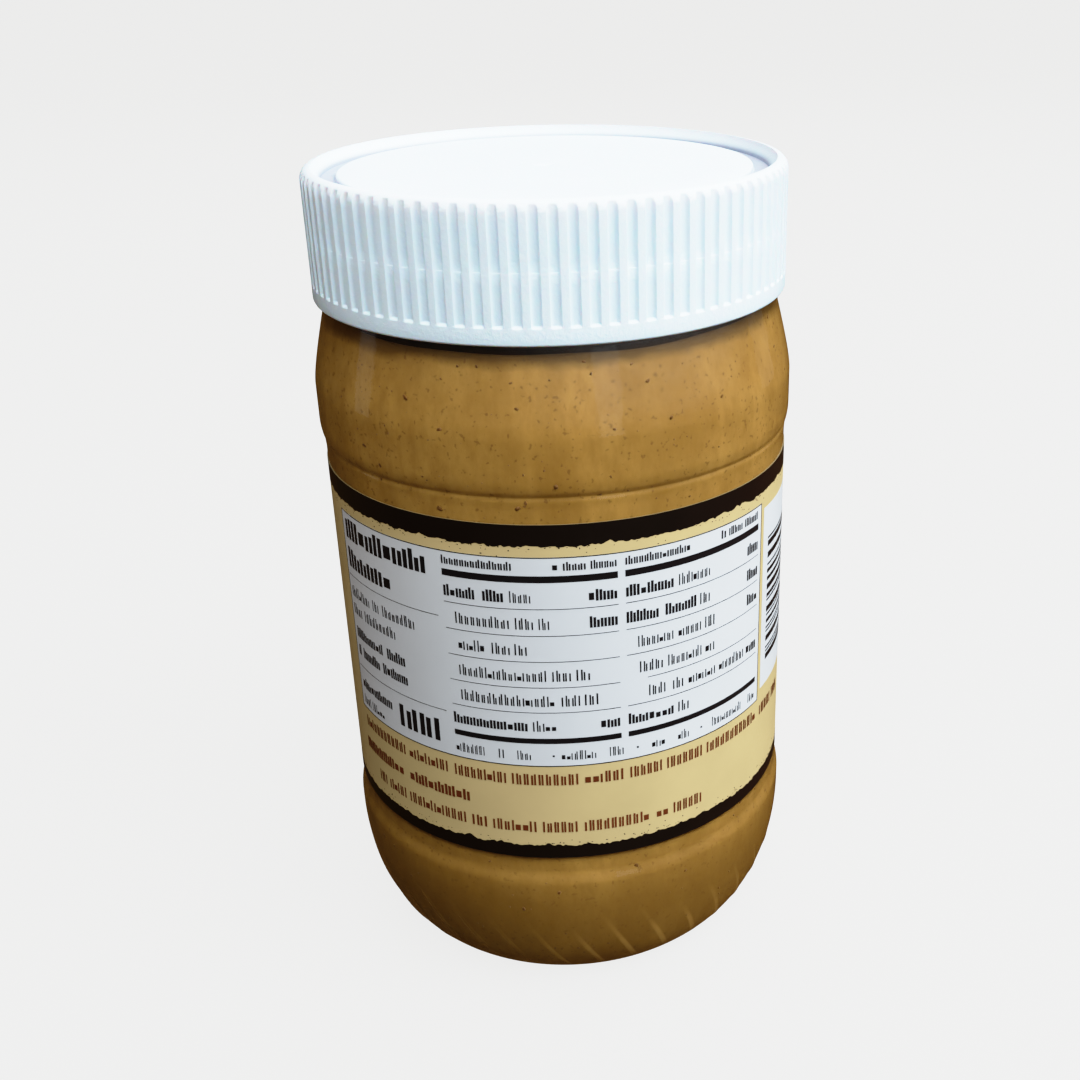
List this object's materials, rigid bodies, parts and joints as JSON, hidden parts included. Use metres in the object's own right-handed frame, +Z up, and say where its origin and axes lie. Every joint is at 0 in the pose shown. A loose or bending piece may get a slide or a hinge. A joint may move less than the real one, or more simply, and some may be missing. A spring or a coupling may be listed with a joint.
{
  "type": "peanut butter jar",
  "caption": "Filled round clear jar with a barrel shoulder and rounded heel, a wrap-round label and a ribbed screw cap.",
  "frame": {"origin": "centre of the ring that the jar stands on", "axes": "+Z up along the jar's axis, -Y towards the middle of the label's printed panel"},
  "size_m": [0.0742, 0.0742, 0.1293],
  "materials": {
    "clear_plastic": "clear glossy moulded plastic",
    "filling": "smooth peanut butter seen through the wall",
    "label_paper": "satin printed paper",
    "cap_plastic": "satin white moulded plastic with a ribbed skirt"
  },
  "bodies": {
    "root": {"jar": "clear_plastic", "peanut_butter": "filling", "label": "label_paper", "cap": "cap_plastic"}
  },
  "joints": []
}
